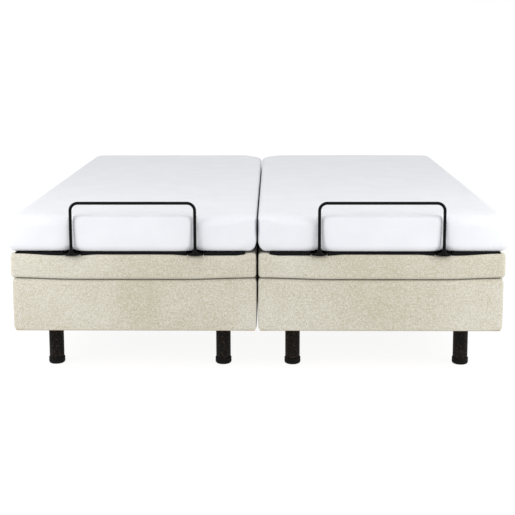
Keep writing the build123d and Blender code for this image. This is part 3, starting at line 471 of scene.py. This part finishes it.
def motor_plastic():
    """Moulded dark grey housing plastic with a fine spark-eroded grain."""
    s = Shader("motor_plastic", Specular_IOR_Level=0.5)
    grain = s.noise(s.where(), 1500.0, 2.0, 0.7)
    flow = s.noise(s.scaled(s.where(), 12, 30, 30), 1.0, 3.0)
    colour = s.mix(s.range(flow, 0.3, 0.7, 0.0, 1.0), rgb(52, 54, 57), rgb(63, 65, 68))
    return s.finish(colour, s.range(grain, 0.3, 0.7, 0.42, 0.58), s.relief(grain, 0.35, 0.0003))


def chrome():
    """Hard chrome of the push rods, polished along their length and lightly greased."""
    s = Shader("chrome", Metallic=1.0)
    smear = s.noise(s.scaled(s.where(), 140, 25, 140), 1.0, 4.0)
    polish = s.noise(s.scaled(s.where(), 2000, 40, 2000), 1.0, 2.0)
    colour = s.mix(smear, rgb(214, 216, 219), rgb(232, 233, 235))
    return s.finish(colour, s.range(smear, 0.35, 0.7, 0.07, 0.2), s.relief(polish, 0.06, 0.0002))


LINEN, KNIT, UNDERLAY, GRIP, CHIPBOARD = linen(), knit(), underlay(), grip(), chipboard()
RUBBER, ZINC, NYLON, MOTOR, CHROME = rubber(), zinc(), nylon(), motor_plastic(), chrome()
FRAME_STEEL = coated("frame_steel", rgb(58, 60, 63), rgb(68, 70, 73), 0.45, 850.0, 0.3)
BLACK_STEEL = coated("black_steel", rgb(5, 5, 6), rgb(9, 9, 10), 0.50, 1100.0, 0.3, 0.08)
LEG_STEEL = coated("leg_steel", rgb(8, 7, 7), rgb(13, 12, 11), 0.62, 330.0, 0.6, 0.10, rgb(72, 58, 46))


# ---- mattress ---------------------------------------------------------------------------------
CUTS = (THIGH_FOLD + BLEND_HALF, CALF_FOLD + KNEE_HALF + 0.034)


def between_posts(x):
    return smooth(POST_X[0] - 0.002, POST_X[0] + 0.012, x) * (
        1 - smooth(POST_X[1] - 0.012, POST_X[1] + 0.002, x)
    )


def mattress_form(points, seed):
    """The soft mattress from points on its sharp box, with the retainer's posts pressed into its foot."""
    low, high = np.array(MATTRESS_LOW), np.array(MATTRESS_HIGH)
    x, y = points[:, 0], points[:, 1]
    up = (points[:, 2] - low[2]) / (high[2] - low[2])
    upper = smooth(0.3, 0.7, up)
    inner = 1 - smooth(0.03, 0.10, x - low[0])
    outer = 1 - smooth(0.03, 0.10, high[0] - x)
    head = smooth(-0.16, -0.04, y - high[1])
    front_r = 0.044 - 0.029 * between_posts(x)
    bottom_x = 0.034 * inner + 0.036 * (1 - inner)
    inner_top_x = 0.020 + 0.034 * head
    top_z = np.where(y < 0, front_r, 0.044)
    top_z = top_z + inner * (0.018 + 0.054 * head - top_z) + outer * (0.052 - top_z)
    bottom_z = 0.030 + 0.016 * inner + 0.006 * outer
    bottom_y = 0.024
    r_low = np.stack(
        (bottom_x + (inner_top_x - bottom_x) * upper, bottom_y + (front_r - bottom_y) * upper, bottom_z), 1
    )
    r_high = np.stack((0.036 + 0.024 * upper, 0.044 + 0.066 * upper * inner, top_z), 1)
    soft = rounded(points, low, high, r_low, r_high)

    steady = np.minimum.reduce([smooth(0.0, 0.09, np.abs(y - cut)) for cut in CUTS])
    near_foot = 1 - smooth(0.0, 0.055, soft[:, 1] - low[1])
    crown = smooth(0.0, 0.14, x - low[0]) * smooth(0.0, 0.14, high[0] - x) * smooth(0.6, 1.0, up)
    soft[:, 2] += (0.0015 * crown) + 0.0010 * ripple(x, y, 0.42, seed) * steady * smooth(0.5, 1.0, up)
    belly = np.sin(math.pi * np.clip(up, 0, 1)) ** 0.7
    soft[:, 0] += belly * (0.0050 * smooth(0.06, 0.0, high[0] - x) + 0.0015 * smooth(0.06, 0.0, x - low[0]))
    soft[:, 1] += 0.0012 * ripple(x, points[:, 2], 0.30, seed + 1) * near_foot * up

    post = np.minimum(np.abs(soft[:, 0] - POST_X[0]), np.abs(soft[:, 0] - POST_X[1]))
    groove = np.exp(-((post / (0.0085 + 0.012 * (1 - up) ** 2)) ** 2))
    side_in = np.minimum(soft[:, 0] - POST_X[0] - 0.006, POST_X[1] - 0.006 - soft[:, 0])
    top_in = high[2] + 0.001 - soft[:, 2]
    dx, dz = np.maximum(PANEL_CORNER - side_in, 0), np.maximum(PANEL_CORNER - top_in, 0)
    in_corner = (dx > 0) & (dz > 0)
    inside = np.where(in_corner, PANEL_CORNER - np.hypot(dx, dz), np.minimum(side_in, top_in))
    panel = smooth(-0.002, 0.012, inside)
    push = (0.005 + 0.0062 * panel) * (1 - groove) - 0.001 * groove
    soft[:, 1] -= push * near_foot
    behind = soft[:, 1] - low[1]
    soft[:, 2] -= 0.0036 * bump(behind, 0.011, 0.006) * between_posts(x) * smooth(0.7, 1.0, up)
    lift = 0.0015 + 0.008 * bump(post, 0.0, 0.013) + 0.003 * bump(post, 0.0, 0.040)
    soft[:, 2] += lift * near_foot * (1 - smooth(0.0, 0.55, up))
    return soft


def mattress_piece(name, side, y0, y1, nodes):
    low, high = MATTRESS_LOW, MATTRESS_HIGH
    xs = lines(
        low.x, high.x, 0.014,
        (low.x, MATTRESS_EDGE, 0.0045), (high.x, MATTRESS_EDGE, 0.0045),
        (POST_X[0], 0.030, 0.0026), (POST_X[1], 0.030, 0.0026),
    )
    ys = lines(y0, y1, 0.013, (low.y, 0.075, 0.0035), (high.y, MATTRESS_EDGE, 0.0045))
    zs = lines(low.z, high.z, 0.008, (low.z, 0.030, 0.0035), (high.z, MATTRESS_EDGE, 0.0035))
    points, faces, sides, uvs = shell(xs, ys, zs)
    cut_foot = (sides == 2) & (y0 > low.y + MATTRESS_EDGE)
    cut_head = (sides == 3) & (y1 < high.y - MATTRESS_EDGE)
    points = mattress_form(points, 1.0 if side == "right" else 2.0)
    made = grid_object(f"{side}_{name}", side, points, faces, uvs, [KNIT], flat=cut_foot | cut_head)
    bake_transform(made)
    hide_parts(*(f"{side}_{node}" for node in nodes))


def mattresses(side):
    mattress_piece(
        "mattress_upper", side, CUTS[0], MATTRESS_HIGH.y,
        ("mattress_seat", "mattress_back"),
    )
    mattress_piece(
        "mattress_middle", side, CUTS[1], CUTS[0],
        ("mattress_thigh",),
    )
    mattress_piece(
        "mattress_foot", side, MATTRESS_LOW.y, CUTS[1],
        ("mattress_calf",),
    )


# ---- deck sections ----------------------------------------------------------------------------
def hang(x, low_x, high_x):
    """How far the seam hangs along an end, from 0 at the corners to 1 in the middle."""
    u = (x - low_x) / (high_x - low_x)
    return smooth(0.0, 0.30, u) * (1 - smooth(0.74, 1.0, u))


def pad_form(points, low, high, ends, seed):
    """An upholstered deck section: plump faces, soft edges, and a stitched line round the outside."""
    r_end = [0.020 if end else 0.009 for end in ends]
    r_low, r_high = (0.014, r_end[0], 0.013), (0.014, r_end[1], 0.013)
    up = (points[:, 2] - low[2]) / (high[2] - low[2])
    soft = rounded(points, low, high, r_low, r_high)
    x, y = points[:, 0], points[:, 1]
    belly = np.sin(math.pi * np.clip(up, 0, 1)) ** 0.8
    wrinkle = 0.0006 * ripple(x + y, points[:, 2] * 3, 0.16, seed)
    seam = 0.0012 * bump(soft[:, 2], STITCH_Z, 0.0022)
    out_x = np.where(x < (low[0] + high[0]) / 2, -1, 1)
    near_x = 1 - smooth(0.0, 0.03, np.minimum(x - low[0], high[0] - x))
    soft[:, 0] += out_x * near_x * (0.0012 * belly + wrinkle - seam)
    if ends[0]:
        near_y = 1 - smooth(0.0, 0.03, y - low[1])
        soft[:, 1] -= near_y * (0.0025 * belly + wrinkle - seam)
        drop = SAG * hang(x, low[0], high[0]) * (1 - smooth(0.012, 0.034, y - low[1]))
        soft[:, 2] -= drop * (1 - smooth(0.0, 0.45, up))
        outer_rim, inner_rim = 1 - smooth(0.03, 0.20, high[0] - x), 1 - smooth(0.03, 0.08, x - low[0])
        middle = smooth(0.03, 0.10, np.minimum(x - POST_X[0], POST_X[1] - x))
        dent = 0.0015 - 0.0040 * middle - 0.0080 * outer_rim - 0.0060 * inner_rim
        soft[:, 2] -= dent * (1 - smooth(0.012, 0.040, y - low[1])) * smooth(0.5, 1.0, up)
    if ends[1]:
        near_y = 1 - smooth(0.0, 0.03, high[1] - y)
        soft[:, 1] += near_y * (0.0025 * belly + wrinkle - seam)
    return soft


def pad(side, section, body, ends):
    low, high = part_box(f"right_{section}_pad")
    low, high = np.array(low), np.array(high)
    high[2] = PAD_TOP
    xs = lines(low[0], high[0], 0.022, (low[0], 0.032, 0.003), (high[0], 0.032, 0.003))
    ys = lines(low[1], high[1], 0.022, (low[1], 0.036, 0.003), (high[1], 0.036, 0.003))
    zs = lines(
        low[2], high[2], 0.008,
        (low[2], 0.015, 0.0022), (STITCH_Z, 0.005, 0.0009), (high[2], 0.015, 0.0022),
    )
    points, faces, sides, uvs = shell(xs, ys, zs)
    centre = points[faces].mean(1)
    rim = np.minimum(centre[:, :2] - low[:2], high[:2] - centre[:, :2]).min(1)
    which = (sides == 4) & (rim > 0.026)
    points = pad_form(points, low, high, ends, 3.0 + len(section) + SIDES[side])
    made = grid_object(f"{side}_{section}_cushion", side, points, faces, uvs, [LINEN, UNDERLAY], which)
    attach(made, body if body == "root" else f"{side}_{body}")
    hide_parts(f"{side}_{section}_pad")


def notched(side, y0, y1, notches0, notches1):
    """A mat's outline with a notch round each hinge or bracket. Notches are (x, half width, depth)."""
    x0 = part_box("right_calf_pad")[0].x + MAT_INNER_INSET
    x1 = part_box("right_calf_pad")[1].x - MAT_INSET
    outline = [(x0, y0)]
    for x, half, depth in notches0:
        outline += [(x - half, y0), (x - half, y0 + depth), (x + half, y0 + depth), (x + half, y0)]
    outline += [(x1, y0), (x1, y1)]
    for x, half, depth in reversed(notches1):
        outline += [(x + half, y1), (x + half, y1 - depth), (x - half, y1 - depth), (x - half, y1)]
    return mirrored(outline + [(x0, y1)], side)


def mat(side, section, body, y0, y1, notches0=(), notches1=()):
    bm = bmesh.new()
    extruded(bm, notched(side, y0, y1, notches0, notches1), PAD_TOP - 0.007, MAT_TOP - 0.0005)
    made = solid_object(f"{side}_{section}_grip_mat", bm, GRIP, 0.002)
    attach(made, body if body == "root" else f"{side}_{body}")


def deck(side):
    pad(side, "seat", "root", (False, False))
    pad(side, "back", "back", (False, True))
    pad(side, "thigh", "thigh", (False, False))
    pad(side, "calf", "calf", (True, False))
    hinges = [(CENTRE_X + x, LEAF_HALF, LEAF_LENGTH - FOLD_GAP) for x in HINGE_X]
    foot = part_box("right_calf_pad")[0].y + FOOT_GAP
    pockets = [(x, POCKET_HALF, BRACKET_HIGH.y + POCKET_GAP - foot) for x in POST_X]
    head = MATTRESS_HIGH.y - MAT_INSET
    mat(side, "seat", "root", THIGH_FOLD + FOLD_GAP, BACK_FOLD - FOLD_GAP, hinges, hinges)
    mat(side, "back", "back", BACK_FOLD + FOLD_GAP, head, hinges)
    mat(side, "thigh", "thigh", CALF_FOLD + KNEE_GAP, THIGH_FOLD - FOLD_GAP, (), hinges)
    mat(side, "calf", "calf", foot, CALF_FOLD - KNEE_GAP, pockets)


# ---- box cover --------------------------------------------------------------------------------
def outline_places(low, high, step, fine, edge):
    """Places round a rectangle, as shares from -1 to 1 of its half sizes, with their run length."""
    half = (high - low) / 2
    runs = [lines(-h, h, step, (-h, edge, fine), (h, edge, fine)) / h for h in half]
    ones = [np.ones(len(run) - 1) for run in runs]
    u = np.concatenate((runs[0][:-1], ones[1], -runs[0][:-1], -ones[1]))
    v = np.concatenate((-ones[0], runs[1][:-1], ones[0], -runs[1][:-1]))
    steps = np.hypot(np.diff(np.append(u, u[0])) * half[0], np.diff(np.append(v, v[0])) * half[1])
    return u, v, np.concatenate(([0], np.cumsum(steps)))


def box_cover(side):
    """The padded fabric round the box: its face, its wrap over the boards' top, and its back."""
    low, high = np.array(COVER_LOW), np.array(COVER_HIGH)
    u, v, run = outline_places(low[:2], high[:2], 0.020, 0.003, 0.030)
    face_z = lines(low[2], high[2], 0.012, (low[2], 0.024, 0.003), (high[2], 0.016, 0.0025))
    rings = [(0.0, z) for z in face_z]
    back, under, hem = COVER_WRAP - FLAP_THICK, high[2] - COVER_OVER, high[2] - COVER_FLAP
    rings += [(COVER_WRAP * i / 8, high[2]) for i in range(1, 9)]
    rings += [(COVER_WRAP, high[2] - 0.004), (COVER_WRAP, hem), (back, hem), (back, under)]
    rings += [(COVER_WRAP / 2, under), (COVER_THICK, under), (COVER_THICK, (low[2] + high[2]) / 2)]
    rings += [(COVER_THICK, low[2] + 0.008)] + [(COVER_THICK * (4 - i) / 4, low[2]) for i in range(4)]
    middle, half = (low + high) / 2, (high - low) / 2
    rows = []
    for inset, z in rings:
        x = middle[0] + u * (half[0] - inset)
        y = middle[1] + v * (half[1] - inset)
        rows.append(np.stack((x, y, np.full(len(u), z)), 1))
    points = np.concatenate(rows)
    x, y, z = points.T
    corner = (1 - smooth(0.01, 0.05, np.minimum(x - low[0], high[0] - x))) * (
        1 - smooth(0.01, 0.05, np.minimum(y - low[1], high[1] - y))
    )
    bottom_r = 0.0055 + 0.011 * corner
    ones = np.ones(len(points))
    r_low = np.stack((0.014 * ones, 0.014 * ones, bottom_r), 1)
    soft = rounded(points, low, high, r_low, (0.014, 0.014, 0.0058))
    up = (z - low[2]) / (high[2] - low[2])
    on_face = np.concatenate([np.full(len(u), inset < COVER_THICK / 2) for inset, _ in rings])
    belly = 0.0016 * np.sin(math.pi * up) ** 0.6 + 0.0007 * ripple(x + y, z * 2, 0.22, 5.0 + SIDES[side])
    near_x = 1 - smooth(0.0, 0.012, np.minimum(x - low[0], high[0] - x))
    near_y = 1 - smooth(0.0, 0.012, np.minimum(y - low[1], high[1] - y))
    soft[:, 0] += np.sign(x - middle[0]) * near_x * belly * on_face * np.where(x < middle[0], 0.5, 1)
    soft[:, 1] += np.sign(y - middle[1]) * near_y * belly * on_face
    foot = 1 - smooth(0.012, 0.034, y - low[1])
    soft[:, 2] -= SAG * hang(x, low[0], high[0]) * foot * smooth(0.7, 1.0, up)
    around, count = len(u), len(rings)
    i, j = np.meshgrid(np.arange(count), np.arange(around), indexing="ij")
    ahead, below = (j + 1) % around, (i + 1) % count
    faces = np.stack((i * around + j, i * around + ahead, below * around + ahead, below * around + j), -1)
    height = np.array([z if inset == 0 else high[2] + inset for inset, z in rings] + [low[2]])
    corners = ((0, 0), (0, 1), (1, 1), (1, 0))
    uvs = np.stack([np.stack((run[j + b], height[i + a]), -1) for a, b in corners], 2)
    faces, uvs = faces.reshape(-1, 4), uvs.reshape(-1, 4, 2)
    made = grid_object(f"{side}_box_cover", side, soft, faces, uvs, [LINEN])
    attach(made, "root")
    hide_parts(f"{side}_base_cover")


# ---- trim -------------------------------------------------------------------------------------
def glides():
    """Rubber cups under the legs, with a rolled lip and a rounded tread."""
    profile = [
        (0.024, 0.0), (0.0285, 0.0006), (0.0312, 0.0026), (0.0326, 0.0058), (0.0332, 0.0100),
        (0.0331, 0.0140), (0.0325, 0.0166), (0.0323, 0.0184), (0.0330, 0.0204), (0.0332, 0.0226),
        (0.0326, 0.0248), (0.0312, 0.0259), (LEG_R, 0.0255),
    ]
    bm = bmesh.new()
    for sign in SIDES.values():
        for x in (CENTRE_X - LEG_X, CENTRE_X + LEG_X):
            for y in (CENTRE_Y - LEG_Y, CENTRE_Y + LEG_Y):
                turned(bm, profile, sign * x, y)
    made = solid_object("leg_cups", bm, RUBBER)
    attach(made, "root")
    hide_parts("leg_glides")


def bracket_outline(x):
    """The tongue's outline: a straight back edge and a nose with round corners."""
    half, r, nose, back = TONGUE_HALF, TONGUE_ROUND, BRACKET_LOW.y, BRACKET_HIGH.y
    outline = [(x + half, back), (x - half, back)]
    outline += arc((x - half + r, nose + r), r, 180, 270, 10)
    outline += arc((x + half - r, nose + r), r, 270, 360, 10)
    return outline


def brackets(side):
    """Steel tongues on the deck, each with a flared foot round the post and two button-head bolts."""
    bottom = BRACKET_LOW.z
    top = bottom + TONGUE_HEIGHT
    flare = [
        (0.0240, top - 0.002), (0.0236, top + 0.0006), (0.0190, top + 0.0020), (0.0148, top + 0.0042),
        (0.0114, top + 0.0072), (0.0090, top + 0.0108), (0.0076, top + 0.0150), (0.0068, top + 0.0185),
        (BAR_R - 0.0004, top + 0.0195),
    ]
    bolt = [
        (0.0058, top - 0.001), (0.0062, top + 0.0006), (0.0058, top + 0.0022), (0.0040, top + 0.0036),
        (0.0018, top + 0.0040),
    ]
    bm = bmesh.new()
    for x in POST_X:
        extruded(bm, mirrored(bracket_outline(x), side), bottom, top)
        turned(bm, flare, x * SIDES[side], POST_Y, reach_y=0.015)
        for dx in (-BOLT_X, BOLT_X):
            turned(bm, bolt, (x + dx) * SIDES[side], BRACKET_HIGH.y - BOLT_BACK, 24)
    made = solid_object(f"{side}_bar_feet", bm, BLACK_STEEL, 0.0012)
    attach(made, f"{side}_calf")
    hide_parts(f"{side}_retainer_brackets")


# ---- materials of the CAD nodes ---------------------------------------------------------------
NODE_MATERIALS = {
    "base_boards": CHIPBOARD,
    "mech_frame": FRAME_STEEL,
    "back_frame": FRAME_STEEL,
    "thigh_frame": FRAME_STEEL,
    "calf_frame": FRAME_STEEL,
    "head_lift_arm": BLACK_STEEL,
    "foot_lift_arm": BLACK_STEEL,
    "calf_links": ZINC,
    "retainer_bar": BLACK_STEEL,
    "legs": LEG_STEEL,
    "joining_bolts": ZINC,
    "seat_hinges": ZINC,
    "back_hinges": ZINC,
    "thigh_hinges": ZINC,
    "pivot_bearings": NYLON,
    "head_rollers": NYLON,
    "foot_rollers": NYLON,
    "control_boxes": MOTOR,
    "head_actuator": MOTOR,
    "foot_actuator": MOTOR,
    "head_rod": CHROME,
    "foot_rod": CHROME,
}


def dress_nodes():
    for name, node in frame["nodes"].items():
        kind = name.removeprefix("left_").removeprefix("right_")
        if kind in NODE_MATERIALS:
            node.data.materials.clear()
            node.data.materials.append(NODE_MATERIALS[kind])


# ---- stage ------------------------------------------------------------------------------------
def area_light(name, place, target, width, height, power):
    data = bpy.data.lights.new(name, "AREA")
    data.shape, data.size, data.size_y, data.energy = "RECTANGLE", width, height, power
    made = bpy.data.objects.new(name, data)
    bpy.context.scene.collection.objects.link(made)
    made.location = place
    aim = np.array(target) - np.array(place)
    made.rotation_euler = (math.acos(-aim[2] / np.linalg.norm(aim)), 0, math.atan2(-aim[0], aim[1]))
    return made


def stage():
    bm = bmesh.new()
    bmesh.ops.create_grid(bm, x_segments=1, y_segments=1, size=60.0)
    mesh = bpy.data.meshes.new("floor")
    bm.to_mesh(mesh)
    bm.free()
    floor = add_object("floor", mesh)
    s = Shader("floor", Roughness=0.9, Specular_IOR_Level=0.0, Emission_Strength=0.92)
    s.main.inputs["Base Color"].default_value = (0.12, 0.12, 0.12, 1)
    s.main.inputs["Emission Color"].default_value = (1, 1, 1, 1)
    mesh.materials.append(s.material)

    world = bpy.data.worlds.new("studio")
    world.use_nodes = True
    world.node_tree.nodes["Background"].inputs[0].default_value = (1.0, 1.0, 1.0, 1)
    world.node_tree.nodes["Background"].inputs[1].default_value = 1.0
    bpy.context.scene.world = world
    for name, x in (("foot_left", -2.2), ("foot_right", 2.2)):
        area_light(name, (x, -1.9, 1.2), (x * 0.3, -1.0, 0.5), 0.9, 0.9, 20.5)
    area_light("foot_top", (0.0, -1.3, 1.75), (0.0, -1.2, 0.6), 2.0, 0.3, 2.0)

    data = bpy.data.cameras.new("camera")
    data.lens, data.sensor_width = 73.03, 36.0
    data.shift_y = -0.1543
    data.clip_end = 200.0
    camera = bpy.data.objects.new("camera", data)
    bpy.context.scene.collection.objects.link(camera)
    camera.location = (0.0607, CENTRE_Y - 5.032, 1.3524)
    camera.rotation_euler = (math.radians(82), math.radians(0.131), math.radians(0.821))
    bpy.context.scene.camera = camera
    bpy.context.scene.view_settings.view_transform = "Standard"


for side in SIDES:
    mattresses(side)
    deck(side)
    box_cover(side)
    brackets(side)
glides()
dress_nodes()
stage()
